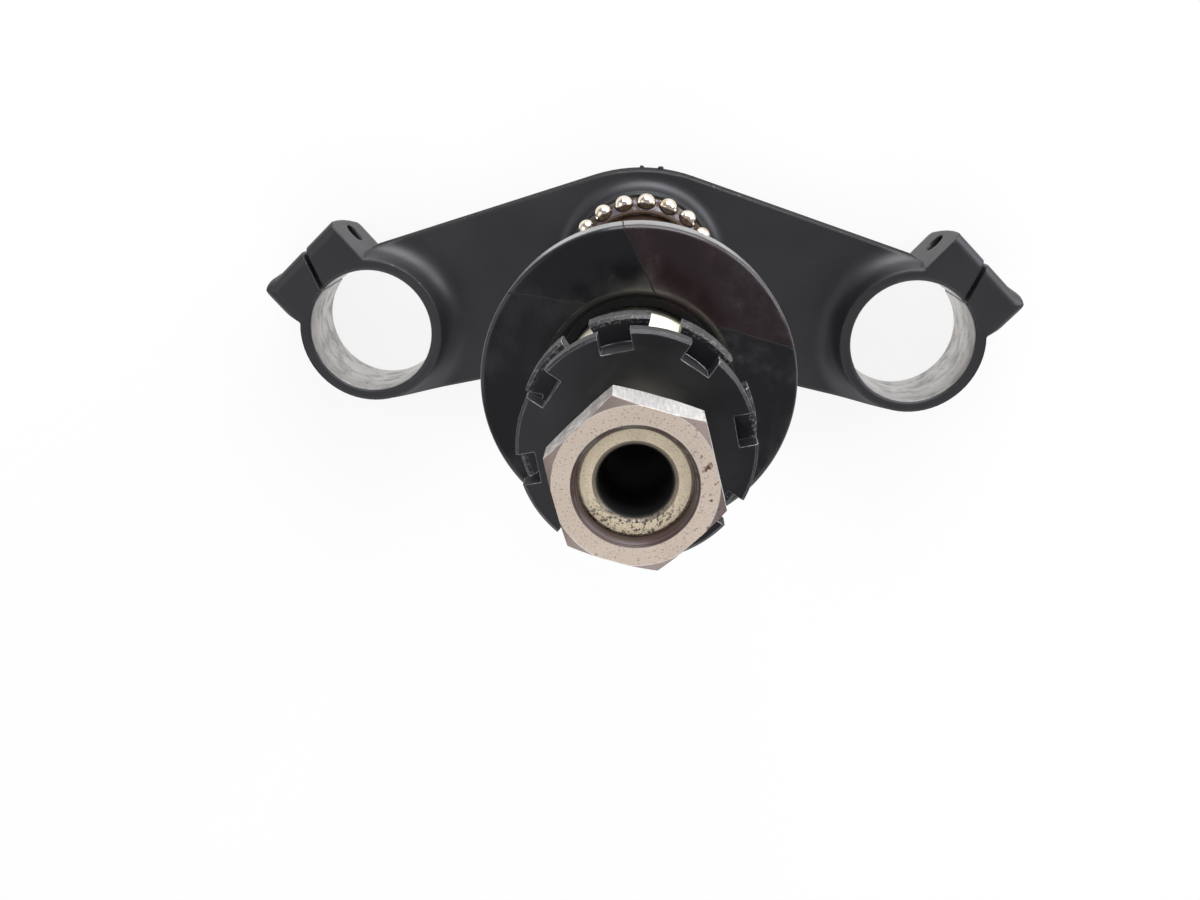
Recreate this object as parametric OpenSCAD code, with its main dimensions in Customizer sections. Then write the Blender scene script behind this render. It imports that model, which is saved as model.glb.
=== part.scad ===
// Lower triple clamp with its steering stem: a cast yoke, a stepped tube, two ball bearings and the stem nuts.
// Millimetres, +Z up the steering axis, X along the fork line, the yoke's underside at z = 0.

/* [Fork clamps] */
// Diameter of the fork bores
fork_d = 41; // [38:0.5:43]
// Distance between the two fork axes
fork_spacing = 182; // [172:1:200]
// Distance from the steering axis forward to the fork line
fork_offset = 22.4; // [18:0.2:30]
// Height of the clamps
clamp_h = 28; // [26:0.5:34]
// Wall of the clamp rings
clamp_wall = 3.6; // [3:0.1:5]
// Chamfer at both mouths of a fork bore
bore_chamfer = 0.8; // [0.4:0.1:1.2]

/* [Pinch ears] */
// Direction in which the ears stand out, in degrees off the fork line
ear_angle = 48; // [42:1:54]
// Turn of the slots against the ears, in degrees
slot_turn = 18; // [0:1:20]
// Width of the clamp slots
slot_w = 1.6; // [1.4:0.2:3]
// Thread of the pinch bolts
pinch_d = 8; // [7:1:8]
// Distance from the bore's wall to the pinch bolt's axis
pinch_out = 7.6; // [7:0.2:8.4]
// Height of the pinch bolt's axis
pinch_z = 13; // [12:0.5:15]
// Metal outside the pinch bolt's axis
ear_margin = 6.6; // [6.2:0.2:8]
// Length of the threaded ear, from the middle of the slot
rear_ear_l = 15.1; // [13:0.1:17]
// Length of the plain ear, from the middle of the slot to the seat of the bolt's head
front_ear_l = 18.6; // [17:0.1:21]
// Radius of the belly of the ears' outer walls
ear_belly_r = 75; // [60:5:140]
// Taper of the ears towards the plain one, in degrees
ear_taper = 2; // [0:0.5:3]
// Flare of the nose round the bolt's seat, in degrees
nose_flare = 9; // [0:1:12]

/* [Yoke] */
// Thickness of the arms
arm_t = 15.5; // [12:0.5:18]
// Distance from the steering axis back to the yoke's crest
crest_y = 31; // [30.5:0.5:34]
// Radius of that crest
crest_r = 55; // [45:1:70]
// Distance from the steering axis forward to the hollow between the arms
front_y = 30.8; // [30:0.2:34]
// Radius of that hollow
front_r = 60; // [40:2:80]
// How far the arms reach out past the clamp rings
arm_margin = 1.7; // [1:0.1:2.4]
// Height of the bearing boss above the arms
boss_rise = 9; // [6:0.5:11]
// Radius of the bearing boss
boss_r = 25; // [24.8:0.2:26.2]
// Radius of the fillet round the bearing boss
boss_fillet = 4.5; // [2:0.5:5]
// Radius of the fillet round the clamp collars
collar_fillet = 8; // [5:0.5:9]

/* [Steering stem] */
// Diameter pressed into the yoke
press_d = 33; // [32:0.5:36]
// Diameter at the bearing seats and the ring nut thread
seat_d = 30; // [28:0.5:31]
// Diameter of the plain tube between the seats
tube_d = 28.6; // [27:0.2:29.4]
// Thread of the stem nut
top_thread_d = 18; // [17:0.5:20]
// Bore of the tube's lower length
lower_bore_d = 21; // [18:0.5:23]
// Bore of the tube's top length
top_bore_d = 11.6; // [10:0.2:12.4]
// Length of the narrow top bore
top_bore_l = 42; // [30:1:60]
// Distance between the planes of the two ball rows
bearing_span = 126.5; // [110:0.5:140]
// Height of the large thread's top above the upper balls
thread_rise = 49.2; // [46:0.2:56]
// Height of the stem above its large thread
top_l = 22; // [19:0.2:25]

/* [Bearings] */
// Balls in each row
ball_count = 20; // [16:1:20]
// Diameter of the balls
ball_d = 5.9; // [5.5:0.05:6]
// Radius of the ball rows
ball_row_r = 22.5; // [22.4:0.1:23.4]
// Height of an inner race
race_h = 9.5; // [9:0.1:10.5]
// Height of the ball row above the race's foot
ball_rise = 7; // [6.6:0.1:7.4]
// Thickness of the pressed cages
cage_t = 0.9; // [0.7:0.1:1]
// Running gap between balls, cages and races
running_gap = 0.2; // [0.15:0.05:0.25]
// Thickness of the steel washer under the lower seal
seal_washer_t = 1; // [0.8:0.1:1.5]
// Height of the lower rubber seal
seal_h = 4.6; // [4:0.2:6]

/* [Dust cover] */
// Diameter of the dust cover
cover_d = 63.8; // [61:0.2:66]
// Depth of the cover's skirt
cover_h = 8; // [6:0.5:10]
// Wall of the cover
cover_t = 2.4; // [1.8:0.1:2.8]
// Diameter of the cup round the stem
cup_d = 37; // [35.5:0.5:39]
// Depth of that cup
cup_depth = 4.8; // [4:0.1:6]

/* [Stem nuts] */
// Diameter of the upper ring nut
upper_ring_d = 40.2; // [39:0.2:42]
// Thickness of the upper ring nut
upper_ring_t = 4.2; // [3.8:0.1:5]
// Wall of the lower ring nut between its thread and its notches
lower_ring_wall = 2.3; // [2:0.1:3]
// Thickness of the lower ring nut
lower_ring_t = 5; // [4:0.1:6]
// Height of the lower ring nut's shoulder
shoulder_h = 3.8; // [3:0.1:4.4]
// Notches in each ring nut
notch_count = 8; // [6:1:8]
// Width of a notch
notch_w = 5.4; // [4.6:0.2:6]
// Depth of a notch
notch_depth = 3.4; // [2.8:0.1:3.6]
// Width of the stem nut across its flats
nut_af = 25; // [24:0.5:27]
// Thickness of the stem nut
nut_t = 8; // [7:0.5:9]
// Diameter of the countersink in the stem nut
nut_sink_d = 19.6; // [19:0.2:21]
// How far the stem ends below the stem nut's face
stem_recess = 2.3; // [2:0.1:3]
// Thickness of the lock washer between the ring nuts
lock_washer_t = 1.2; // [1:0.1:1.6]

/* [Hidden] */

$fn = 96;
eps = 0.01;
cut = 1;                            // how far a cutter runs past a face

fork_x = fork_spacing / 2;
fork_r = fork_d / 2;
collar_r = fork_r + clamp_wall;
pinch_u = fork_r + pinch_out;       // bolt axis, measured out along the ears from the fork axis
ear_u = pinch_u + ear_margin;       // outer face of the ears at the threaded end
tap_r = pinch_d / 2 - 0.6;          // hole that the pinch thread is cut in
plain_r = pinch_d / 2 + 0.2;        // clearance hole in the plain ear
ear_top_r = 3.5;                    // rounding of an ear's outer edge at the rim
ear_foot_r = 2.5;                   // rounding of that edge at the underside
nose_top_r = 5;                     // the same rounding on the nose
nose_l = 9.2;                       // length of the nose, back from the bolt's seat
nose_tip_r = 4.5;                   // rounding of the nose in plan
nose_edge_r = 4;                    // rounding of the seat's edge at the rim
nose_fall = 2;                      // how far the seat falls back beside the bolt
nose_blend_r = 2;                   // hollow where the nose meets the ring
nose_lift = 3;                      // bevel of the nose at the underside
slot_lead = 1.5;                    // depth of the bevel at the slot's mouth

boss_top = arm_t + boss_rise;
seal_z = boss_top + seal_washer_t;
seal_recess = 0.6;                  // step inside the seal that the race stands in
low_race_z = seal_z + seal_h - seal_recess;
low_ball_z = low_race_z + ball_rise;
up_ball_z = low_ball_z + bearing_span;
up_race_top = up_ball_z + ball_rise;

seat_r = seat_d / 2;
top_r = top_thread_d / 2;
thread_top = up_ball_z + thread_rise;
stem_top = thread_top + top_l;
nut_top = stem_top + stem_recess;
nut_z = nut_top - nut_t;
thread_chamfer = 0.5;

thread_sink = 0.8;                  // how far the large thread ends below the lower ring nut's shoulder
lock_washer_z = thread_top + thread_sink;
upper_ring_z = lock_washer_z + lock_washer_t;
lower_ring_z = lock_washer_z - shoulder_h - lower_ring_t;
lower_ring_r = seat_r + lower_ring_wall + notch_depth;
shoulder_r = seat_r + lower_ring_wall - 1;
upper_phase = 12;                   // how far each nut and the lower balls have turned, in degrees
lower_phase = 32;
ball_phase = 15.2;
nut_phase = 45;

// Point at a distance r from p in the direction a.
function along(p, r, a) = p + r * [cos(a), sin(a)];

// Corners where the outer tangents of two circles touch them.
function tangent_quad(p, rp, q, rq) =
    let (d = q - p, a = atan2(d[1], d[0]), b = acos((rp - rq) / norm(d)))
    [along(p, rp, a + b), along(q, rq, a + b), along(q, rq, a - b), along(p, rp, a - b)];

// Points of an arc round c from angle a to angle b.
function arc(c, r, a, b, steps) = [for (i = [0:steps]) along(c, r, a + (b - a) * i / steps)];

module both_sides() {
    children();
    mirror([1, 0, 0]) children();
}

// Frame of one clamp: x out along the ears, y along the pinch bolt, the origin on the fork axis.
module at_right_clamp() {
    translate([fork_x, -fork_offset, 0]) rotate(ear_angle) children();
}

// Slab with the yoke's plan: straight arms from a broad crest behind and a hollow in front
// to a round end at each clamp.
module yoke_slab(h) {
    end = [fork_x, -fork_offset - 0.6];
    end_r = collar_r + arm_margin;
    crest = [0, crest_y - crest_r];
    back = tangent_quad(crest, crest_r, end, end_r);
    front_axis = -front_y - front_r;
    front = tangent_quad([0, front_axis], -front_r, end, end_r);
    both_sides() {
        translate([end[0], end[1], 0]) cylinder(r = end_r, h = h);
        linear_extrude(h) polygon([[0, 0], back[0], back[1], front[2], front[3]]);
    }
    intersection() {
        translate([0, crest[1], 0]) cylinder(r = crest_r, h = h);
        translate([-back[0][0], 0, 0]) cube([2 * back[0][0], crest_y + cut, h]);
    }
    difference() {
        translate([-front[3][0], front[3][1], 0]) cube([2 * front[3][0], -front[3][1], h]);
        translate([0, front_axis, -cut]) cylinder(r = front_r, h = h + 2 * cut);
    }
}

// A boss of radius r that stands on the arms, with a hollow fillet at its foot.
module filleted_boss(r, top, fillet) {
    rotate_extrude() {
        square([r, top]);
        difference() {
            translate([0, arm_t - eps]) square([r + fillet, fillet + eps]);
            translate([r + fillet, arm_t + fillet]) circle(fillet);
        }
    }
}

// An ear seen along the bolt, its outer face at x = 0: under a round rim the wall bellies in to its foot.
module ear_side(top_r) {
    depth = ear_u - fork_r / 2;
    rim_z = clamp_h - top_r;
    foot_reach = ear_belly_r - ear_foot_r;
    lean = asin((rim_z - ear_foot_r) / foot_reach);
    polygon(concat(
        [[-depth, 0], [-depth, clamp_h]],
        arc([-top_r, rim_z], top_r, 90, 0, 5),
        arc([-ear_belly_r, rim_z], ear_belly_r, -lean / 4, -lean * 3 / 4, 2),
        arc([foot_reach * cos(lean) - ear_belly_r, ear_foot_r], ear_foot_r, -lean, -90, 5)
    ));
}

// Sweeps an ear's side along a face that passes through p at an angle to the bolt.
module ear_bar(p, turn, top_r, back, ahead) {
    translate([p[0], p[1], 0]) rotate(turn) translate([0, back, 0])
        rotate([90, 0, 0]) linear_extrude(back + ahead) ear_side(top_r);
}

// Plan of both ears: the threaded end, the round nose with its seat, and the hollow back to the ring.
module ear_plan(nose_u) {
    seat_half = plain_r;
    fall_v = front_ear_l - nose_fall;
    blend_u = sqrt(pow(collar_r + nose_blend_r, 2) - pow(fall_v + nose_blend_r, 2));
    blend_end = atan2(fall_v + nose_blend_r, -blend_u);
    rear_u = sqrt(pow(collar_r, 2) - pow(rear_ear_l, 2)) - 1;
    polygon(concat(
        [[rear_u, rear_ear_l], [ear_u + cut, rear_ear_l], [ear_u + cut, nose_l - front_ear_l]],
        arc([nose_u - nose_tip_r, nose_tip_r - front_ear_l], nose_tip_r, 0, -90, 6),
        [[pinch_u - seat_half, -front_ear_l]],
        arc([blend_u, -fall_v - nose_blend_r], nose_blend_r, 90, blend_end, 3),
        [along([0, 0], fork_r, -ear_angle)]
    ));
}

// Side of the nose: round at the rim's edge of the bolt's seat, bevelled at the underside.
module nose_side() {
    polygon(concat(
        [[rear_ear_l + cut, 0], [rear_ear_l + cut, clamp_h]],
        arc([nose_edge_r - front_ear_l, clamp_h - nose_edge_r], nose_edge_r, 90, 180, 5),
        [[-front_ear_l, nose_lift], [nose_lift - front_ear_l, 0]]
    ));
}

module ears() {
    nose_v = nose_l - front_ear_l;
    face_u = ear_u - (rear_ear_l - nose_v) * tan(ear_taper);
    nose_u = face_u + (nose_l - nose_tip_r) * tan(nose_flare);
    intersection() {
        linear_extrude(clamp_h) ear_plan(nose_u);
        union() {
            ear_bar([ear_u, rear_ear_l], -ear_taper, ear_top_r, cut, rear_ear_l + front_ear_l);
            ear_bar([face_u, nose_v], nose_flare, nose_top_r, 0, nose_l + cut);
        }
        rotate([90, 0, 90]) linear_extrude(ear_u + cut) nose_side();
    }
}

// Plan of a slot, from inside the fork bore out: its mouth is bevelled on the plain ear.
module slot_plan() {
    half = slot_w / 2;
    mouth = ear_margin;
    polygon([
        [-fork_r * 0.6, -half], [mouth - slot_lead, -half], [mouth + slot_lead, -half - 2 * slot_lead],
        [mouth + slot_lead, half], [-fork_r * 0.6, half],
    ]);
}

module clamp_cuts() {
    translate([0, 0, -cut]) cylinder(r = fork_r, h = clamp_h + 2 * cut);
    mouth_r = fork_r + bore_chamfer;
    translate([0, 0, -cut]) cylinder(r1 = mouth_r + cut, r2 = fork_r, h = bore_chamfer + cut);
    translate([0, 0, clamp_h - bore_chamfer]) cylinder(r1 = fork_r, r2 = mouth_r + cut, h = bore_chamfer + cut);
    translate([pinch_u, 0, -cut]) rotate(slot_turn) linear_extrude(clamp_h + 2 * cut) slot_plan();
    translate([pinch_u, 0, pinch_z]) rotate([-90, 0, 0]) cylinder(r = tap_r, h = rear_ear_l + cut);
    translate([pinch_u, 0, pinch_z]) rotate([90, 0, 0]) cylinder(r = plain_r, h = front_ear_l + cut);
}

module lower_yoke() color([0.13, 0.13, 0.14]) {
    difference() {
        union() {
            yoke_slab(arm_t);
            filleted_boss(boss_r, boss_top, boss_fillet);
            both_sides() {
                intersection() {
                    translate([fork_x, -fork_offset, 0])
                        filleted_boss(collar_r, clamp_h, collar_fillet);
                    yoke_slab(clamp_h);
                }
                at_right_clamp() ears();
            }
        }
        both_sides() at_right_clamp() clamp_cuts();
        translate([0, 0, -cut]) cylinder(r = press_d / 2, h = boss_top + 2 * cut);
    }
}

// Stepped tube, drawn as half of its section.
module steering_stem() color([0.80, 0.78, 0.68]) {
    press_r = press_d / 2;
    tube_r = tube_d / 2;
    low_bore = lower_bore_d / 2;
    top_bore = top_bore_d / 2;
    bore_step = stem_top - top_bore_l;
    lower_seat_end = low_race_z + race_h + 2;
    upper_seat_z = up_race_top - race_h - 5;
    taper_l = 2;
    thread_end = 1;
    bore_mouth = 0.8;
    rotate_extrude() polygon([
        [low_bore, 0], [press_r, 0], [press_r, boss_top], [seat_r, boss_top],
        [seat_r, lower_seat_end], [tube_r, lower_seat_end + taper_l],
        [tube_r, upper_seat_z - taper_l], [seat_r, upper_seat_z],
        [seat_r, thread_top - thread_end], [seat_r - thread_end, thread_top],
        [top_r, thread_top], [top_r, stem_top - thread_chamfer], [top_r - thread_chamfer, stem_top],
        [top_bore + bore_mouth, stem_top], [top_bore, stem_top - bore_mouth],
        [top_bore, bore_step], [low_bore, bore_step - (low_bore - top_bore)],
    ]);
}

module lower_seal_washer() color([0.55, 0.55, 0.56]) {
    washer_r = boss_r - 0.8;
    translate([0, 0, boss_top]) rotate_extrude()
        translate([seat_r, 0]) square([washer_r - seat_r, seal_washer_t]);
}

// Rubber ring with a thick foot, a waist and a thin lip that stands up round the race.
module lower_dust_seal() color([0.10, 0.12, 0.11]) {
    foot_r = boss_r - 0.4;
    foot_h = 1.4;
    waist_r = foot_r - 0.9;
    lip_r = ball_row_r + 2.2;
    lip_in = lip_r - 0.9;
    floor_h = seal_h - seal_recess;
    translate([0, 0, seal_z]) rotate_extrude() polygon([
        [seat_r, 0], [foot_r, 0], [foot_r, foot_h], [waist_r, foot_h + 0.7], [lip_r, seal_h],
        [lip_in, seal_h], [lip_in - 0.1, floor_h], [seat_r, floor_h],
    ]);
}

// Half of an inner race's section, foot at z = 0, with the groove that its balls run in.
module race_section() {
    groove_r = ball_d / 2 + running_gap;
    foot_r = ball_row_r + 1.2;
    foot_h = 2.6;
    crown_r = ball_row_r - groove_r - 0.4;
    crown_chamfer = 0.8;
    polygon(concat(
        [[seat_r, 0], [foot_r, 0], [foot_r, foot_h]],
        arc([ball_row_r, ball_rise], groove_r, -78, -188, 14),
        [[crown_r, race_h - crown_chamfer], [crown_r - crown_chamfer, race_h], [seat_r, race_h]]
    ));
}

// Half of a cage's section: a strip across the ball row at 45 degrees, as z rises towards the axis.
module cage_section() {
    outer = 1.5;
    inner = 4.1;
    translate([ball_row_r, ball_rise]) rotate(-45)
        translate([-inner, -cage_t / 2]) square([inner + outer, cage_t]);
}

module cage() {
    difference() {
        rotate_extrude() cage_section();
        for (i = [0:ball_count - 1])
            rotate(i * 360 / ball_count) translate([ball_row_r, 0, ball_rise]) rotate([0, 45, 0])
                cylinder(r = ball_d / 2 + running_gap / 2, h = 8, center = true);
    }
}

module ball_row() {
    for (i = [0:ball_count - 1])
        rotate(i * 360 / ball_count) translate([ball_row_r, 0, ball_rise]) sphere(d = ball_d);
}

module at_lower_bearing() translate([0, 0, low_race_z]) rotate(ball_phase) children();
module at_upper_bearing() translate([0, 0, up_race_top]) mirror([0, 0, 1]) children();

module lower_bearing_race() color([0.35, 0.24, 0.17]) at_lower_bearing() rotate_extrude() race_section();
module lower_bearing_cage() color([0.55, 0.52, 0.56]) at_lower_bearing() cage();
module lower_bearing_balls() color([0.82, 0.74, 0.64]) at_lower_bearing() ball_row();
module upper_bearing_race() color([0.45, 0.42, 0.40]) at_upper_bearing() rotate_extrude() race_section();
module upper_bearing_cage() color([0.55, 0.52, 0.56]) at_upper_bearing() cage();
module upper_bearing_balls() color([0.82, 0.74, 0.64]) at_upper_bearing() ball_row();

// Moulded cap: a flat ring with a skirt, and a cup in its middle that stands on the upper race.
module dust_cover() color([0.07, 0.07, 0.09]) {
    r = cover_d / 2;
    inner_r = r - cover_t;
    bore_r = seat_r + 0.3;
    cup_r = cup_d / 2;
    cup_out_r = cup_r + cover_t;
    top = cup_depth + cover_t;
    foot = top - cover_h;
    edge = 1;
    lip = 0.8;
    cove = 1.5;
    translate([0, 0, up_race_top]) rotate_extrude() polygon(concat(
        [[bore_r, 0], [cup_out_r - edge, 0], [cup_out_r, edge], [cup_out_r, cup_depth]],
        [[inner_r, cup_depth], [inner_r, foot], [r, foot]],
        arc([r - edge, top - edge], edge, 0, 90, 6),
        [[cup_r + lip, top], [cup_r, top - lip]],
        [[cup_r, cover_t + cove], [cup_r - cove, cover_t], [bore_r, cover_t]]
    ));
}

module notches(r, h, phase) {
    for (i = [0:notch_count - 1])
        rotate(phase + i * 360 / notch_count)
            translate([r - notch_depth, -notch_w / 2, -cut]) cube([notch_depth + cut, notch_w, h + 2 * cut]);
}

// Flat ring nut with chamfered edges and square notches for a hook spanner.
module ring_nut(bore_r, r, h, phase) {
    edge = 0.5;
    lead = 0.6;
    difference() {
        rotate_extrude() polygon([
            [bore_r, 0], [r - edge, 0], [r, edge], [r, h - edge], [r - edge, h],
            [bore_r + lead, h], [bore_r, h - lead],
        ]);
        notches(r, h, phase);
    }
}

module flat_ring(inner, outer, h) {
    rotate_extrude() translate([inner, 0]) square([outer - inner, h]);
}

module ring_nut_upper() color([0.10, 0.10, 0.11]) {
    translate([0, 0, upper_ring_z]) ring_nut(top_r, upper_ring_d / 2, upper_ring_t, upper_phase);
}

// The lower ring nut carries a shoulder, on which the lock washer lies.
module ring_nut_lower() color([0.12, 0.12, 0.12]) {
    overlap = 1;
    translate([0, 0, lower_ring_z]) {
        ring_nut(seat_r, lower_ring_r, lower_ring_t, lower_phase);
        translate([0, 0, lower_ring_t - overlap]) flat_ring(seat_r, shoulder_r, shoulder_h + overlap);
    }
}

module lock_washer() color([0.30, 0.30, 0.31]) {
    translate([0, 0, lock_washer_z]) flat_ring(top_r, shoulder_r, lock_washer_t);
}

// Hexagon nut, chamfered at its corners, countersunk over the thread.
module stem_nut() color([0.72, 0.70, 0.68]) {
    corner_r = nut_af / 2 / cos(30);
    face_r = nut_af / 2 + 0.2;
    sink_r = nut_sink_d / 2;
    round_r = corner_r + 0.2;
    chamfer_h = 1.2;
    sink_foot_r = top_r - 0.2;
    sink_depth = sink_r - sink_foot_r;
    translate([0, 0, nut_z]) difference() {
        intersection() {
            rotate(nut_phase) cylinder(r = corner_r, h = nut_t, $fn = 6);
            rotate_extrude() polygon([
                [0, 0], [face_r, 0], [round_r, chamfer_h],
                [round_r, nut_t - chamfer_h], [face_r, nut_t], [0, nut_t],
            ]);
        }
        translate([0, 0, -cut]) cylinder(r = top_r, h = nut_t + 2 * cut);
        translate([0, 0, nut_t - sink_depth]) cylinder(r1 = sink_foot_r, r2 = sink_r, h = sink_depth + eps);
    }
}

lower_yoke();
steering_stem();
lower_seal_washer();
lower_dust_seal();
lower_bearing_race();
lower_bearing_cage();
lower_bearing_balls();
upper_bearing_race();
upper_bearing_cage();
upper_bearing_balls();
dust_cover();
ring_nut_lower();
lock_washer();
ring_nut_upper();
stem_nut();
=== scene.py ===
"""Looks of a motorcycle's lower triple clamp: materials, floor, lamps and camera.

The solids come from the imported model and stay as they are. Lengths are in metres.
+Z runs up the steering stem, and -Y is the side of the fork tubes.
"""

import math

import bmesh
import bpy
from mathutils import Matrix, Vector, noise


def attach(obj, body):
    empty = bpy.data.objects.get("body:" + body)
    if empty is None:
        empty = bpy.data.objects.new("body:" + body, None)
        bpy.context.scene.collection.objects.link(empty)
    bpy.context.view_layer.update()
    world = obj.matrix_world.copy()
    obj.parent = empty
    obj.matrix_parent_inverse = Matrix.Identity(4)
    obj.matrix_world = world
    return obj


MM = 0.001

# Places that the patterns need, as in the part's source.
FORK_X = 91 * MM
FORK_Y = -22.4 * MM
FORK_R = 20.5 * MM
EAR_ANGLE = math.radians(48)
EAR_ROOTS = 18.5 * MM, 20 * MM
EAR_ENDS = 16.2 * MM, 15.4 * MM
ARM_TOP_Z = 15.5 * MM
CREST_Y = 31 * MM
CREST_R = 55 * MM
STEM_BORE_R = 5.8 * MM
THREAD_START_Z = 178 * MM
NUT_FACE_Z = 236.5 * MM
NUT_FACE_R = 12.7 * MM
NUT_SINK_R = 9.8 * MM
RING_RIM_R = 19.3 * MM
COVER_CUP_R = 18.5 * MM
CAGE_INNER_R = 20.7 * MM

# The camera of the photograph: its place, its turn in degrees, its lens in millimetres.
CAMERA_AT = (0.18 * MM, 56.62 * MM, 391.09 * MM)
CAMERA_TURN = (-18.167, 2.283, 0.711)
CAMERA_LENS = 33.0

# Lamps: (where, what it is aimed at, side length, watts).
LAMPS = {
    "lamp_above": ((0.15, 1.15, 0.34), (0.0, 0.0, 0.08), 0.95, 21.0),
    "lamp_left": ((-0.85, 0.10, 0.75), (0.0, 0.0, 0.08), 0.9, 3.0),
    "lamp_right": ((0.85, 0.55, 0.40), (0.0, 0.0, 0.08), 0.7, 7.0),
    "lamp_front": ((0.0, -0.95, 0.45), (0.0, 0.0, 0.08), 1.6, 11.0),
}
LAMP_COLOUR = (0.94, 0.95, 1.0)
WORLD_COLOUR = (0.33, 0.33, 0.345)
FLOOR_SIZE = 6.0
FLOOR_COLOUR = (0.90, 0.90, 0.89)
FLOOR_GLOW = 0.86

# Colours, linear. Where there are two, a pattern runs from the first to the second.
YOKE_BLACKS = (0.0115, 0.0115, 0.0135), (0.0215, 0.0215, 0.0235)
YOKE_DUST = (0.11, 0.105, 0.10)
YOKE_RUB = (0.07, 0.07, 0.072)
YOKE_CHIP = (0.30, 0.295, 0.29)
CAST_SKINS = (0.005, 0.005, 0.005), (0.020, 0.0185, 0.017)
BORE_METALS = (0.52, 0.50, 0.48), (0.84, 0.82, 0.80)
BORE_STAIN = (0.15, 0.135, 0.125)
BORE_TOP_SHADE = (0.13, 0.12, 0.11)
BORE_SPOT = (0.05, 0.045, 0.04)
ZINCS = (0.70, 0.66, 0.50), (0.83, 0.79, 0.64)
DULL_ZINCS = (0.45, 0.41, 0.29), (0.62, 0.58, 0.44)
ZINC_STREAK = (0.36, 0.31, 0.22)
STEM_ENDS = (0.80, 0.66, 0.45), (0.96, 0.84, 0.62)
STEM_END_SMUDGE = (0.36, 0.30, 0.20)
STEM_MOUTH_STAIN_AND_SHADE = (0.15, 0.115, 0.085)
STEM_PIT = (0.035, 0.030, 0.024)
STEM_BORE_GREASE_AND_SHADES = (0.0055, 0.0050, 0.0050), (0.30, 0.29, 0.28)
WASHER_STEELS = (0.34, 0.34, 0.35), (0.50, 0.50, 0.50)
WASHER_RUST = (0.20, 0.10, 0.05)
RUBBERS = (0.020, 0.024, 0.022), (0.010, 0.012, 0.011)
RUBBER_GRIT = (0.12, 0.10, 0.08)
RACE_GREASES = (0.026, 0.014, 0.008), (0.085, 0.052, 0.032)
RACE_STEEL = (0.30, 0.26, 0.22)
CAGE_STEELS = (0.085, 0.080, 0.088), (0.170, 0.160, 0.176)
CAGE_GREASE = (0.058, 0.037, 0.025)
BALL_STEELS = (0.93, 0.86, 0.74), (0.70, 0.55, 0.38)
BALL_GREASE_AND_REFLECTION = (0.048, 0.026, 0.014)
COVER_BLACKS = (0.0050, 0.0052, 0.0066), (0.0120, 0.0120, 0.0138)
COVER_RED_REFLECTIONS = (0.0150, 0.0078, 0.0090), (0.0250, 0.0150, 0.0165)
COVER_SMUDGE = (0.052, 0.050, 0.054)
COVER_DUST = (0.16, 0.15, 0.14)
COVER_CRACK = (0.001, 0.001, 0.001)
COVER_RIM_SCUFF_AND_HIGHLIGHT = (0.22, 0.23, 0.26)
RING_BLACKS = (0.0050, 0.0052, 0.0062), (0.0115, 0.0115, 0.0130)
RING_LEFT_REFLECTION = (0.030, 0.0305, 0.033)
RING_SCRATCH = (0.08, 0.08, 0.08)
RING_GRIT = (0.13, 0.125, 0.115)
RING_WORN = (0.46, 0.46, 0.47)
NUT_FACES = (0.67, 0.555, 0.45), (0.80, 0.68, 0.56)
NUT_GRAIN = (0.34, 0.27, 0.225)
NUT_SPECK = (0.12, 0.095, 0.08)
NUT_FLANKS = (0.60, 0.585, 0.56), (0.86, 0.84, 0.80)
NUT_FLANK_SPECK = (0.30, 0.29, 0.28)
NUT_FLANK_STAIN_AND_SHADE = (0.24, 0.20, 0.17)
NUT_CORNER_STAIN = (0.19, 0.135, 0.112)
NUT_SINK = (0.13, 0.11, 0.095)
NUT_GROOVE_SHADE = (0.035, 0.029, 0.025)
NUT_GREASE = (0.050, 0.018, 0.012)
NUT_RUST = (0.10, 0.045, 0.02)


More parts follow.
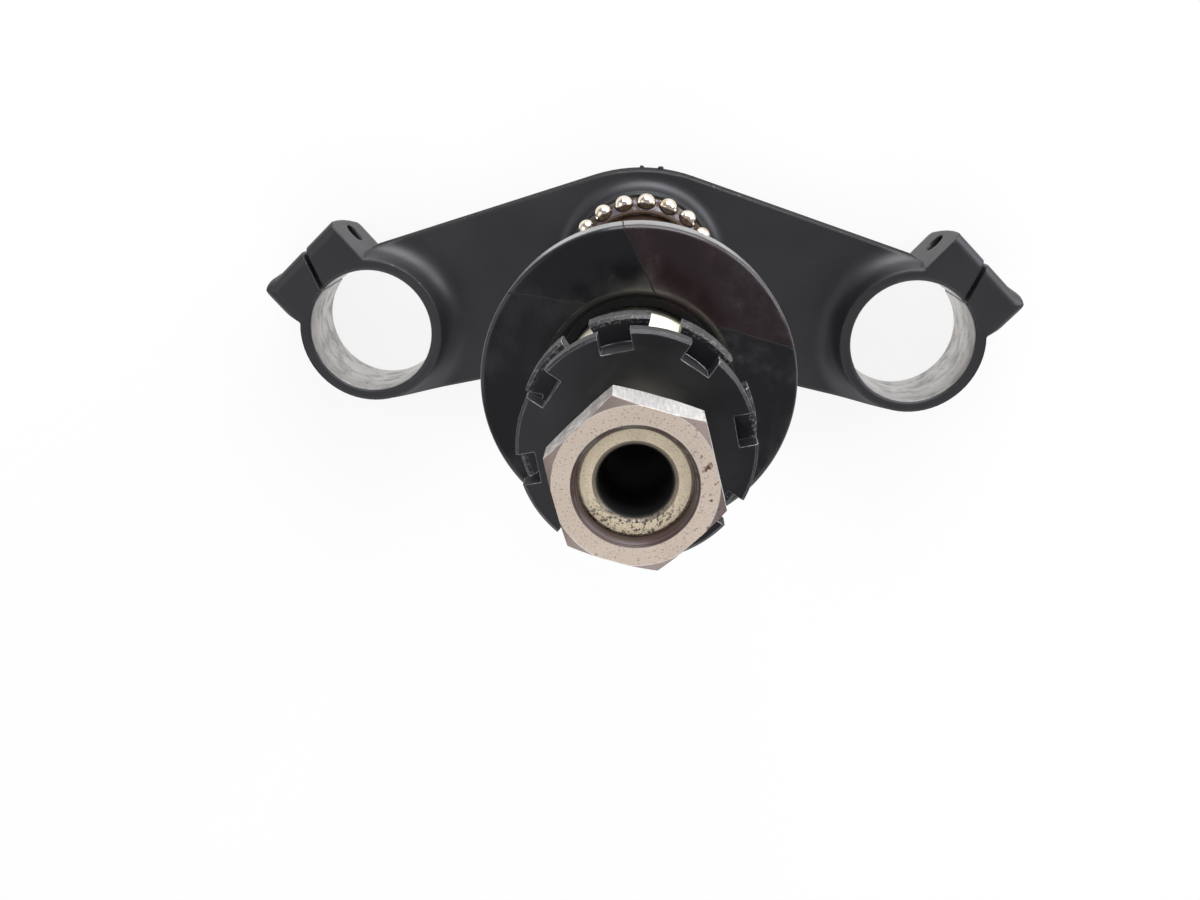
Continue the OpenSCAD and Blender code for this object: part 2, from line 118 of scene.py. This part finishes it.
class Surface:
    """One procedural material: a Principled shader and the nodes that drive it."""

    def __init__(self, name, roughness, metallic=0.0, **constants):
        self.material = bpy.data.materials.new(name)
        self.material.use_nodes = True
        self.tree = self.material.node_tree
        self.shader = self.tree.nodes["Principled BSDF"]
        self.shader.inputs["Roughness"].default_value = roughness
        self.shader.inputs["Metallic"].default_value = metallic
        for socket, value in constants.items():
            self.shader.inputs[socket.replace("_", " ")].default_value = value
        self.place = self.node("ShaderNodeTexCoord").outputs["Object"]
        self.normal = None

    def node(self, kind, operation=None):
        made = self.tree.nodes.new(kind)
        if operation:
            made.operation = operation
        return made

    def put(self, socket, value):
        """Links a socket, or sets a plain number or colour."""
        if isinstance(value, bpy.types.NodeSocket):
            self.tree.links.new(value, socket)
        else:
            socket.default_value = value

    def math(self, operation, a, b=0.0):
        made = self.node("ShaderNodeMath", operation)
        self.put(made.inputs[0], a)
        self.put(made.inputs[1], b)
        return made.outputs[0]

    def both(self, a, b):
        return self.math("MULTIPLY", a, b)

    def either(self, a, b):
        return self.math("MAXIMUM", a, b)

    def opposite(self, a):
        return self.math("SUBTRACT", 1.0, a)

    def level(self, value, start, end):
        """0 where value is at start or before it, 1 from end on, smooth between."""
        made = self.node("ShaderNodeMapRange")
        made.interpolation_type = "SMOOTHSTEP"
        self.put(made.inputs["Value"], value)
        made.inputs["From Min"].default_value = min(start, end)
        made.inputs["From Max"].default_value = max(start, end)
        made.inputs["To Min"].default_value = 0.0 if start < end else 1.0
        made.inputs["To Max"].default_value = 1.0 if start < end else 0.0
        return made.outputs["Result"]

    def mix(self, mask, first, second):
        """The first colour where mask is 0, the second where it is 1."""
        made = self.node("ShaderNodeMix")
        made.data_type = "RGBA"
        self.put(made.inputs["Factor"], mask)
        self.put(made.inputs["A"], rgba(first))
        self.put(made.inputs["B"], rgba(second))
        return next(o for o in made.outputs if o.type == "RGBA")

    def blend(self, mask, first, second):
        """The same for numbers."""
        made = self.node("ShaderNodeMix")
        self.put(made.inputs["Factor"], mask)
        self.put(made.inputs["A"], first)
        self.put(made.inputs["B"], second)
        return made.outputs["Result"]

    def stretched(self, x, y, z):
        """The place, squeezed by a factor along each axis."""
        made = self.node("ShaderNodeMapping")
        self.put(made.inputs["Vector"], self.place)
        made.inputs["Scale"].default_value = (x, y, z)
        return made.outputs["Vector"]

    def noise(self, size, detail=3.0, place=None, sharp=0.5, shift=0.0):
        """Noise from 0 to 1 whose blots are about size metres wide."""
        made = self.node("ShaderNodeTexNoise")
        made.noise_dimensions = "4D"
        self.put(made.inputs["Vector"], place or self.place)
        made.inputs["W"].default_value = shift
        made.inputs["Scale"].default_value = 1.0 / size
        made.inputs["Detail"].default_value = detail
        made.inputs["Roughness"].default_value = sharp
        return made.outputs["Factor" if "Factor" in made.outputs else "Fac"]

    def axis(self, letter):
        made = self.node("ShaderNodeSeparateXYZ")
        self.put(made.inputs[0], self.place)
        return made.outputs[letter]

    def facing(self, letter):
        """How far the surface itself faces along an axis, from -1 to 1, at rest."""
        normal = self.node("ShaderNodeTexCoord").outputs["Normal"]
        made = self.node("ShaderNodeSeparateXYZ")
        self.put(made.inputs[0], normal)
        return made.outputs[letter]

    def from_axis(self, x=0.0, y=0.0):
        """Distance from an upright line through x, y."""
        across = self.math("SUBTRACT", self.axis("X"), x)
        along = self.math("SUBTRACT", self.axis("Y"), y)
        squares = self.math("ADD", self.both(across, across), self.both(along, along))
        return self.math("SQRT", squares)

    def outward(self):
        """How far the surface faces away from the steering axis, from -1 to 1."""
        x = self.both(self.facing("X"), self.axis("X"))
        y = self.both(self.facing("Y"), self.axis("Y"))
        return self.math("DIVIDE", self.math("ADD", x, y), self.from_axis())

    def edge(self, width, start=0.015, end=0.2):
        """1 along sharp edges, over about width metres."""
        rounded = self.node("ShaderNodeBevel")
        rounded.samples = 6
        rounded.inputs["Radius"].default_value = width
        flat = self.node("ShaderNodeNewGeometry").outputs["True Normal"]
        same = self.node("ShaderNodeVectorMath", "DOT_PRODUCT")
        self.put(same.inputs[0], rounded.outputs["Normal"])
        self.put(same.inputs[1], flat)
        return self.level(self.opposite(same.outputs["Value"]), start, end)

    def soften(self, radius):
        """Rounds the shading of sharp edges."""
        made = self.node("ShaderNodeBevel")
        made.samples = 6
        made.inputs["Radius"].default_value = radius
        self.normal = made.outputs["Normal"]

    def bump(self, height, depth, strength=1.0):
        """Raises the surface by up to depth metres where height is 1."""
        made = self.node("ShaderNodeBump")
        self.put(made.inputs["Height"], height)
        made.inputs["Distance"].default_value = depth
        made.inputs["Strength"].default_value = strength
        if self.normal:
            self.put(made.inputs["Normal"], self.normal)
        self.normal = made.outputs["Normal"]

    def track(self, start, end, wobble):
        """Distances along a wandering line between two (x, y) points, and right of it."""
        direction = (Vector(end) - Vector(start)).normalized()
        x = self.math("SUBTRACT", self.axis("X"), start[0])
        y = self.math("SUBTRACT", self.axis("Y"), start[1])
        along = self.math("ADD", self.both(x, direction.x), self.both(y, direction.y))
        right = self.math("SUBTRACT", self.both(x, direction.y), self.both(y, direction.x))
        wander = self.both(self.math("SUBTRACT", self.noise(6 * MM), 0.5), wobble)
        return along, self.math("ADD", right, wander)

    def segment(self, start, end, width, wobble):
        """1 on a thin wandering line between two (x, y) points, seen along Z."""
        along, right = self.track(start, end, wobble)
        length = (Vector(end) - Vector(start)).length
        line = self.level(self.math("ABSOLUTE", right), width, width * 0.3)
        begins = self.level(along, 0.0, 0.3 * MM)
        ends = self.level(along, length, length - 0.3 * MM)
        return self.both(line, self.both(begins, ends))

    def finish(self, colour, roughness=None, metallic=None):
        self.put(self.shader.inputs["Base Color"], rgba(colour))
        if roughness is not None:
            self.put(self.shader.inputs["Roughness"], roughness)
        if metallic is not None:
            self.put(self.shader.inputs["Metallic"], metallic)
        if self.normal:
            self.put(self.shader.inputs["Normal"], self.normal)
        return self.material


def rgba(colour):
    if isinstance(colour, bpy.types.NodeSocket):
        return colour
    return (*colour, 1.0)


def ears(s):
    """1 on the pinch ears, which stand out at an angle from the fork axes."""
    x = s.math("SUBTRACT", s.math("ABSOLUTE", s.axis("X")), FORK_X)
    y = s.math("SUBTRACT", s.axis("Y"), FORK_Y)
    cos, sin = math.cos(EAR_ANGLE), math.sin(EAR_ANGLE)
    outward = s.math("ADD", s.both(x, cos), s.both(y, sin))
    along_bolt = s.math("SUBTRACT", s.both(y, cos), s.both(x, sin))
    return s.both(s.level(outward, *EAR_ROOTS), s.level(along_bolt, *EAR_ENDS))


def yoke_paint():
    """Satin black paint on a casting; the fork bores are bare aluminium."""
    s = Surface("yoke_satin_black", 0.42)
    # paint
    cloud = s.level(s.noise(45 * MM, 4), 0.35, 0.7)
    paint = s.mix(cloud, *YOKE_BLACKS)
    dust = s.level(s.noise(0.55 * MM, 2), 0.70, 0.80)
    paint = s.mix(s.both(dust, 0.35), paint, YOKE_DUST)
    rub = s.level(s.noise(1.0 * MM, 3, s.stretched(0.12, 1, 1)), 0.66, 0.80)
    paint = s.mix(s.both(rub, 0.25), paint, YOKE_RUB)
    chips = s.both(s.edge(0.45 * MM), s.level(s.noise(2.2 * MM, 4), 0.60, 0.72))
    paint = s.mix(chips, paint, YOKE_CHIP)
    # walls of the outline: rough cast skin under thin paint
    upright = s.level(s.math("ABSOLUTE", s.facing("Z")), 0.45, 0.25)
    skin = s.both(upright, s.level(s.axis("Z"), ARM_TOP_Z - 0.1 * MM, ARM_TOP_Z - 0.8 * MM))
    skin = s.both(skin, s.opposite(ears(s)))
    grain = s.noise(1.1 * MM, 5, shift=8.0)
    cast = s.mix(s.level(grain, 0.35, 0.7), *CAST_SKINS)
    paint = s.mix(skin, paint, cast)
    # bare bores
    to_axis = s.math("MINIMUM", s.from_axis(FORK_X, FORK_Y), s.from_axis(-FORK_X, FORK_Y))
    bare = s.level(to_axis, FORK_R + 0.22 * MM, FORK_R + 0.12 * MM)
    stain = s.level(s.noise(7 * MM, 6, s.stretched(1, 1, 1.5), 0.6), 0.42, 0.66)
    tool_marks = s.noise(0.35 * MM, 2, s.stretched(0.06, 0.06, 1))
    metal = s.mix(tool_marks, *BORE_METALS)
    metal = s.mix(s.both(stain, 0.62), metal, BORE_STAIN)
    # painted shade: the bore's wall darkens towards its top rim
    near_top = s.level(s.axis("Z"), 10 * MM, 27 * MM)
    metal = s.mix(s.both(near_top, 0.55), metal, BORE_TOP_SHADE)
    spots = s.level(s.noise(1.6 * MM, 3, shift=4.0), 0.66, 0.74)
    metal = s.mix(s.both(spots, 0.8), metal, BORE_SPOT)
    s.soften(1.4 * MM)
    s.bump(s.noise(0.7 * MM, 3), 0.02 * MM, 0.35)
    s.bump(s.both(grain, skin), 0.6 * MM, 1.0)
    rough = s.blend(s.noise(12 * MM, 4), 0.36, 0.50)
    rough = s.blend(skin, rough, 0.85)
    s.put(s.shader.inputs["Specular IOR Level"], s.blend(skin, 0.5, 0.2))
    return s.finish(
        s.mix(bare, paint, metal),
        s.blend(bare, rough, 0.42),
        s.either(s.both(bare, 0.75), s.both(chips, 0.8)),
    )


def zinc_plate():
    """Yellowish zinc on the stem: speckled end, a dark greasy bore with painted shade in it and
    round its mouth.
    """
    s = Surface("stem_zinc_plate", 0.34, 0.75)
    cloud = s.noise(9 * MM, 4)
    zinc = s.mix(cloud, *ZINCS)
    dull = s.level(s.axis("Z"), THREAD_START_Z - 16 * MM, THREAD_START_Z - 34 * MM)
    zinc = s.mix(dull, zinc, s.mix(cloud, *DULL_ZINCS))
    streak = s.level(s.noise(1.5 * MM, 4, s.stretched(1, 1, 0.08)), 0.5, 0.75)
    zinc = s.mix(s.both(streak, 0.30), zinc, ZINC_STREAK)
    # the end: cream, black specks, pits along its front
    high = s.level(s.axis("Z"), NUT_FACE_Z - 4 * MM, NUT_FACE_Z - 3 * MM)
    end = s.both(high, s.level(s.facing("Z"), 0.5, 0.8))
    zinc = s.mix(end, zinc, s.mix(cloud, *STEM_ENDS))
    specks = s.level(s.noise(0.25 * MM, 4), 0.56, 0.64)
    pitted = s.level(s.axis("Y"), 0 * MM, -7 * MM)
    pits = s.both(pitted, s.level(s.noise(0.45 * MM, 6, shift=2.0), 0.51, 0.57))
    smudge = s.level(s.noise(3 * MM, 4, shift=7.0), 0.50, 0.66)
    zinc = s.mix(s.both(end, s.both(smudge, 0.15)), zinc, STEM_END_SMUDGE)
    # brown stain and painted shade on the chamfer at the bore's mouth
    mouth = s.both(high, s.level(s.from_axis(), STEM_BORE_R + 0.9 * MM, STEM_BORE_R + 0.75 * MM))
    zinc = s.mix(s.both(mouth, 0.8), zinc, STEM_MOUTH_STAIN_AND_SHADE)
    dark = s.both(high, s.either(s.both(specks, 0.40), s.both(pits, 0.9)))
    zinc = s.mix(dark, zinc, STEM_PIT)
    # the bore: black grease, with painted shade that deepens further in
    inside = s.level(s.from_axis(), STEM_BORE_R + 0.5 * MM, STEM_BORE_R + 0.1 * MM)
    deep = s.level(s.axis("Z"), NUT_FACE_Z - 12 * MM, NUT_FACE_Z - 26 * MM)
    zinc = s.mix(inside, zinc, s.mix(deep, *STEM_BORE_GREASE_AND_SHADES))
    s.soften(0.1 * MM)
    s.bump(s.opposite(dark), 0.05 * MM, 0.5)
    rough = s.blend(s.either(dark, inside), s.blend(cloud, 0.26, 0.42), 0.7)
    metal = s.blend(end, 0.75, 0.15)
    return s.finish(zinc, rough, s.blend(s.either(dark, inside), metal, 0.0))


def washer_steel():
    """Dull steel with a few rust stains."""
    s = Surface("washer_dull_steel", 0.45, 0.9)
    rust = s.level(s.noise(2.5 * MM, 5), 0.56, 0.70)
    steel = s.mix(s.noise(0.6 * MM, 3), *WASHER_STEELS)
    s.bump(s.noise(0.5 * MM, 3), 0.02 * MM, 0.4)
    return s.finish(s.mix(rust, steel, WASHER_RUST), s.blend(rust, 0.40, 0.75))


def seal_rubber():
    """Greenish black rubber with an oily skin."""
    s = Surface("seal_black_rubber", 0.5)
    oil = s.level(s.noise(3 * MM, 4), 0.42, 0.62)
    grit = s.level(s.noise(0.5 * MM, 3, shift=3.0), 0.64, 0.74)
    rubber = s.mix(oil, *RUBBERS)
    rubber = s.mix(s.both(grit, 0.5), rubber, RUBBER_GRIT)
    s.soften(0.3 * MM)
    s.bump(s.noise(0.9 * MM, 4), 0.06 * MM, 0.5)
    return s.finish(rubber, s.blend(oil, 0.62, 0.30))


def greased_race():
    """Ground steel under brown grease."""
    s = Surface("race_greased_steel", 0.3, 0.4, Specular_IOR_Level=0.3)
    grease = s.level(s.noise(3.0 * MM, 4), 0.18, 0.36)
    brown = s.mix(s.noise(2.0 * MM, 4), *RACE_GREASES)
    s.bump(s.noise(2.0 * MM, 4), 0.10 * MM, 0.5)
    return s.finish(
        s.mix(grease, RACE_STEEL, brown),
        s.blend(s.noise(1.5 * MM, 3), 0.26, 0.40),
        s.blend(grease, 0.8, 0.0),
    )


def cage_steel():
    """Pressed steel with a lilac cast, dulled by grease."""
    s = Surface("cage_pressed_steel", 0.42, 0.8, Specular_IOR_Level=0.2)
    grease = s.level(s.noise(2.2 * MM, 3), 0.42, 0.62)
    inside = s.level(s.from_axis(), CAGE_INNER_R + 0.2 * MM, CAGE_INNER_R - 0.3 * MM)
    grease = s.either(grease, inside)
    steel = s.mix(s.noise(1.5 * MM, 3), *CAGE_STEELS)
    s.soften(0.15 * MM)
    s.bump(s.noise(1.2 * MM, 3), 0.03 * MM, 0.3)
    return s.finish(
        s.mix(grease, steel, CAGE_GREASE),
        s.blend(grease, 0.42, 0.70),
        s.blend(grease, 0.8, 0.1),
    )


def ball_steel():
    """Polished balls, bright outside; on the side towards the race, brown grease and a painted
    reflection of it.
    """
    s = Surface("ball_polished_steel", 0.12, 1.0)
    film = s.level(s.noise(3.0 * MM, 2), 0.40, 0.75)
    steel = s.mix(film, *BALL_STEELS)
    # the side facing the steering axis gets brown grease and a painted reflection of the greasy
    # race
    edge = s.math("ADD", s.outward(), s.both(s.noise(2.2 * MM, 2, shift=5.0), 0.5))
    grease = s.level(edge, 0.42, 0.24)
    s.bump(s.noise(1.6 * MM, 2), 0.04 * MM, 0.25)
    return s.finish(
        s.mix(grease, steel, BALL_GREASE_AND_REFLECTION),
        s.blend(grease, s.blend(film, 0.14, 0.24), 0.36),
        s.blend(grease, 1.0, 0.15),
    )


# Cracks of the dust cover, each from its cup to its rim: two (x, y) points in mm.
CRACKS = [
    ((3.3, 18.2), (-4.0, 32.2)),
    ((-9.8, 16.3), (-26.3, 18.3)),
    ((15.8, 12.3), (31.6, 8.0)),
]


def cover_black():
    """Glossy black moulding: a painted reddish reflection on the piece between two cracks,
    smudges, scuffs with a painted highlight along the rim.
    """
    s = Surface("cover_gloss_black", 0.22)
    cracks = [[[c * MM for c in point] for point in crack] for crack in CRACKS]
    wobble = 0.8 * MM
    smear = s.level(s.noise(7 * MM, 5, s.stretched(1, 0.6, 1)), 0.48, 0.72)
    black = s.mix(smear, *COVER_BLACKS)
    # painted reflection: the piece between the first and last crack is tinted red
    right_of_first = s.level(s.track(*cracks[0], wobble)[1], 0.0, 0.15 * MM)
    left_of_last = s.level(s.track(*cracks[2], wobble)[1], 0.15 * MM, 0.0)
    piece = s.both(right_of_first, left_of_last)
    black = s.mix(piece, black, s.mix(smear, *COVER_RED_REFLECTIONS))
    one_side = s.level(s.axis("X"), 13 * MM, 20 * MM)
    smudge = s.level(s.noise(5 * MM, 6, shift=9.0), 0.46, 0.76)
    smudge = s.both(one_side, smudge)
    black = s.mix(s.both(smudge, 0.6), black, COVER_SMUDGE)
    dust = s.level(s.noise(0.40 * MM, 2), 0.74, 0.80)
    black = s.mix(s.both(dust, 0.5), black, COVER_DUST)
    crack = 0.0
    for start, end in cracks:
        crack = s.either(s.segment(start, end, 0.20 * MM, wobble), crack)
    black = s.mix(crack, black, COVER_CRACK)
    # scuffs and a painted bluish highlight along the rim's edge
    rim = s.both(s.edge(0.4 * MM), s.level(s.noise(1.8 * MM, 4, shift=1.0), 0.40, 0.58))
    black = s.mix(s.both(rim, 0.6), black, COVER_RIM_SCUFF_AND_HIGHLIGHT)
    s.soften(0.8 * MM)
    s.bump(s.noise(9 * MM, 2), 0.15 * MM, 0.15)
    s.bump(s.opposite(crack), 0.05 * MM, 0.6)
    in_cup = s.level(s.from_axis(), COVER_CUP_R + 1.0 * MM, COVER_CUP_R)
    rough = s.either(s.blend(smear, 0.16, 0.34), s.either(s.both(rim, 0.5), s.both(smudge, 0.5)))
    return s.finish(black, s.either(rough, s.either(s.both(crack, 0.8), s.both(in_cup, 0.7))))


def black_nut(name, grit):
    """Blackened ring nuts with edges worn to bright steel; grit lies on the rim."""
    s = Surface(name, 0.36, Specular_IOR_Level=0.36)
    cloud = s.level(s.noise(11 * MM, 4), 0.38, 0.66)
    black = s.mix(cloud, *RING_BLACKS)
    # painted reflection: the face is lighter towards -X
    one_side = s.level(s.axis("X"), 2 * MM, -16 * MM)
    black = s.mix(s.both(one_side, 0.7), black, RING_LEFT_REFLECTION)
    scratch = s.level(s.noise(0.6 * MM, 3, s.stretched(1, 0.1, 1)), 0.66, 0.80)
    black = s.mix(s.both(scratch, 0.2), black, RING_SCRATCH)
    scuff = s.level(s.noise(4 * MM, 6, shift=3.0), 0.58, 0.66)
    worn = s.both(s.edge(0.26 * MM, 0.02, 0.12), s.level(s.noise(3 * MM, 5), 0.34, 0.54))
    rim = s.level(s.from_axis(), RING_RIM_R, RING_RIM_R + 0.5 * MM)
    gritty = s.both(rim, s.level(s.noise(0.5 * MM, 4), 0.50, 0.62))
    colour = s.mix(s.both(gritty, grit), black, RING_GRIT)
    colour = s.mix(s.both(worn, 0.75), colour, RING_WORN)
    s.soften(0.3 * MM)
    s.bump(s.noise(0.6 * MM, 3), 0.03 * MM, 0.35)
    rough = s.blend(s.noise(6 * MM, 4), 0.30, 0.45)
    rough = s.either(rough, s.either(s.both(gritty, 0.7), s.both(scuff, 0.6)))
    return s.finish(colour, rough, s.both(worn, 0.7))


def bare_nut():
    """Bare machined nut: speckled face, brushed flats, stained corners, rust."""
    s = Surface("nut_bare_steel", 0.38, 0.6)
    flat = s.level(s.facing("Z"), 0.90, 0.97)
    face = s.mix(s.noise(6 * MM, 4), *NUT_FACES)
    specks = s.level(s.noise(0.26 * MM, 3), 0.59, 0.67)
    grains = s.level(s.noise(0.16 * MM, 3, shift=2.0), 0.54, 0.66)
    face = s.mix(s.both(grains, 0.35), face, NUT_GRAIN)
    face = s.mix(s.both(specks, 0.75), face, NUT_SPECK)
    brushed = s.noise(0.35 * MM, 4, s.stretched(1, 1, 0.12))
    flank = s.mix(s.level(brushed, 0.30, 0.70), *NUT_FLANKS)
    flank = s.mix(s.both(specks, 0.45), flank, NUT_FLANK_SPECK)
    # brownish stain and painted shade on the flanks that face -X
    one_side = s.blend(s.level(s.facing("X"), -0.3, -0.5), 0.15, 0.8)
    dull = s.both(one_side, s.level(s.noise(1.2 * MM, 5), 0.25, 0.65))
    flank = s.mix(dull, flank, NUT_FLANK_STAIN_AND_SHADE)
    corner = s.level(s.from_axis(), NUT_FACE_R, NUT_FACE_R + 0.15 * MM)
    slope = s.both(s.level(s.facing("Z"), 0.15, 0.30), s.opposite(flat))
    stained = s.both(slope, corner)
    colour = s.mix(flat, flank, face)
    colour = s.mix(s.both(stained, 0.9), colour, NUT_CORNER_STAIN)
    # countersink: thread grooves with painted shade in them, dark brown grease along its front
    sink = s.level(s.from_axis(), NUT_SINK_R + 0.05 * MM, NUT_SINK_R - 0.05 * MM)
    turn = s.math("SINE", s.both(s.from_axis(), 2 * math.pi / (0.45 * MM)))
    groove = s.both(sink, s.level(turn, 0.0, 0.8))
    low_side = s.level(s.axis("Y"), 3 * MM, -5 * MM)
    grease = s.both(sink, s.either(low_side, s.level(s.noise(3 * MM, 4), 0.44, 0.56)))
    colour = s.mix(s.both(sink, 0.8), colour, NUT_SINK)
    colour = s.mix(s.both(groove, 0.7), colour, NUT_GROOVE_SHADE)
    colour = s.mix(s.both(grease, 0.8), colour, NUT_GREASE)
    right = s.level(s.axis("X"), 6 * MM, 11 * MM)
    rust = s.both(right, s.level(s.noise(1.0 * MM, 4, shift=6.0), 0.58, 0.66))
    colour = s.mix(rust, colour, NUT_RUST)
    s.soften(0.2 * MM)
    s.bump(s.opposite(specks), 0.02 * MM, 0.4)
    s.bump(brushed, 0.02 * MM, 0.3)
    s.bump(s.opposite(groove), 0.08 * MM, 0.7)
    metal = s.opposite(s.either(s.both(rust, 0.9), s.both(grease, 0.9)))
    return s.finish(colour, s.blend(flat, 0.36, 0.50), s.both(metal, 0.6))


def dress():
    """Gives each solid its finish."""
    finishes = {
        "lower_yoke": yoke_paint(),
        "steering_stem": zinc_plate(),
        "lower_seal_washer": washer_steel(),
        "lower_dust_seal": seal_rubber(),
        "lower_bearing_race": greased_race(),
        "lower_bearing_cage": cage_steel(),
        "lower_bearing_balls": ball_steel(),
        "dust_cover": cover_black(),
        "ring_nut_lower": black_nut("ring_nut_gritty_black", 0.9),
        "ring_nut_upper": black_nut("ring_nut_black", 0.25),
        "stem_nut": bare_nut(),
    }
    finishes["lock_washer"] = finishes["lower_seal_washer"]
    for kind in ("race", "cage", "balls"):
        finishes[f"upper_bearing_{kind}"] = finishes[f"lower_bearing_{kind}"]
    for name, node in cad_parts.items():
        for place in node.material_slots:
            place.material = finishes[name]


# Burrs on the yoke's crest: (x, z, size). The stretch is along X, Y and Z.
BURRS = [(-0.6 * MM, 2.2 * MM, 1.1 * MM), (5.8 * MM, 2.6 * MM, 1.4 * MM)]
BURR_STRETCH = (0.75, 0.62, 1.3)
BURR_LUMPS = 0.45
BURR_LUMP_SCALE = 1.7


def add_burrs():
    """Ragged lumps that stand up from the crest."""
    mesh = bmesh.new()
    for x, z, size in BURRS:
        foot = Vector((x, CREST_Y - x * x / (2 * CREST_R), z))
        for corner in bmesh.ops.create_icosphere(mesh, subdivisions=3, radius=1.0)["verts"]:
            lump = noise.noise(corner.co * BURR_LUMP_SCALE + foot / MM)
            reach = size * (1.0 + BURR_LUMPS * lump)
            stretched = Vector([a * b for a, b in zip(BURR_STRETCH, corner.co)])
            corner.co = foot + reach * stretched
    shape = bpy.data.meshes.new("crest_burrs")
    mesh.to_mesh(shape)
    mesh.free()
    shape.shade_smooth()
    shape.materials.append(bpy.data.materials["yoke_satin_black"])
    burrs = bpy.data.objects.new("crest_burrs", shape)
    bpy.context.scene.collection.objects.link(burrs)
    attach(burrs, "clamp")


# Threads of the stem where they show: (name, radius, from z, to z).
THREADS = [
    ("stem_thread_large", 15 * MM, THREAD_START_Z, 205.2 * MM),
    ("stem_thread_small", 9 * MM, 217.9 * MM, 229.2 * MM),
]
THREAD_PITCH = 1 * MM
THREAD_HEIGHT = 0.28 * MM
THREAD_SINK = 0.03 * MM
THREAD_HALF_FOOT = 0.49 * THREAD_PITCH
STEPS_A_TURN = 72
RUN_OUT_STEPS = 18
LEAST_HEIGHT = 0.05


def add_thread(name, radius, start, end):
    """A closed ridge that winds round the stem and runs out at both ends."""
    mesh = bmesh.new()
    steps = round((end - start - THREAD_PITCH) / THREAD_PITCH * STEPS_A_TURN)
    sections = []
    for step in range(steps + 1):
        angle = 2 * math.pi * step / STEPS_A_TURN
        middle = start + THREAD_PITCH * (0.5 + step / STEPS_A_TURN)
        rise = min(1.0, step / RUN_OUT_STEPS, (steps - step) / RUN_OUT_STEPS)
        height = max(LEAST_HEIGHT, rise) * (THREAD_HEIGHT + THREAD_SINK)
        foot = radius - THREAD_SINK
        profile = [
            (foot, middle - THREAD_HALF_FOOT),
            (foot + height, middle),
            (foot, middle + THREAD_HALF_FOOT),
        ]
        corners = [(r * math.cos(angle), r * math.sin(angle), z) for r, z in profile]
        sections.append([mesh.verts.new(corner) for corner in corners])
    for before, after in zip(sections, sections[1:]):
        for i, j in ((0, 1), (1, 2), (2, 0)):
            mesh.faces.new((before[i], before[j], after[j], after[i]))
    mesh.faces.new(sections[0])
    mesh.faces.new(sections[-1])
    bmesh.ops.recalc_face_normals(mesh, faces=mesh.faces)
    shape = bpy.data.meshes.new(name)
    mesh.to_mesh(shape)
    mesh.free()
    shape.shade_smooth()
    shape.set_sharp_from_angle(angle=math.radians(40))
    shape.materials.append(bpy.data.materials["stem_zinc_plate"])
    thread = bpy.data.objects.new(name, shape)
    bpy.context.scene.collection.objects.link(thread)
    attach(thread, "clamp")


def floor_material():
    """Pale, and paler still where it is seen or mirrored, but it keeps shadows."""
    s = Surface("floor_pale", 0.85)
    s.put(s.shader.inputs["Base Color"], rgba(FLOOR_COLOUR))
    rays = s.node("ShaderNodeLightPath").outputs
    seen = s.either(rays["Is Camera Ray"], rays["Is Glossy Ray"])
    seen = s.either(seen, rays["Is Transmission Ray"])
    glow = s.node("ShaderNodeEmission")
    blend = s.node("ShaderNodeMixShader")
    s.put(blend.inputs["Fac"], s.both(seen, FLOOR_GLOW))
    s.put(blend.inputs[1], s.shader.outputs["BSDF"])
    s.put(blend.inputs[2], glow.outputs["Emission"])
    s.put(s.tree.nodes["Material Output"].inputs["Surface"], blend.outputs["Shader"])
    return s.material


def add_floor():
    bpy.ops.mesh.primitive_plane_add(size=FLOOR_SIZE)
    floor = bpy.context.object
    floor.name = "floor"
    floor.data.materials.append(floor_material())


def add_lamps():
    for name, (place, target, side, watts) in LAMPS.items():
        lamp = bpy.data.lights.new(name, "AREA")
        lamp.size = side
        lamp.energy = watts
        lamp.color = LAMP_COLOUR
        holder = bpy.data.objects.new(name, lamp)
        holder.location = place
        aim = Vector(target) - Vector(place)
        holder.rotation_euler = aim.to_track_quat("-Z", "Y").to_euler()
        bpy.context.scene.collection.objects.link(holder)


def light_world():
    world = bpy.data.worlds.new("studio")
    world.use_nodes = True
    world.node_tree.nodes["Background"].inputs["Color"].default_value = (*WORLD_COLOUR, 1.0)
    bpy.context.scene.world = world


def add_camera():
    camera = bpy.data.cameras.new("camera")
    camera.lens = CAMERA_LENS
    camera.clip_start = 0.01
    holder = bpy.data.objects.new("camera", camera)
    holder.location = CAMERA_AT
    holder.rotation_euler = [math.radians(angle) for angle in CAMERA_TURN]
    bpy.context.scene.collection.objects.link(holder)
    bpy.context.scene.camera = holder


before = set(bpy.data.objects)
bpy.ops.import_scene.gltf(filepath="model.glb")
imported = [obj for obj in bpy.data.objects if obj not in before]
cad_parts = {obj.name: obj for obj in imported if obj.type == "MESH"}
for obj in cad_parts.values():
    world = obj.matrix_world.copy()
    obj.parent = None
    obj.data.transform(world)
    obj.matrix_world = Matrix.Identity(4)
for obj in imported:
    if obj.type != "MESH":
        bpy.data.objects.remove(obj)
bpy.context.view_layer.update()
add_camera()
dress()
add_burrs()
for row in THREADS:
    add_thread(*row)
add_floor()
add_lamps()
light_world()
bpy.context.scene.view_settings.view_transform = "Standard"
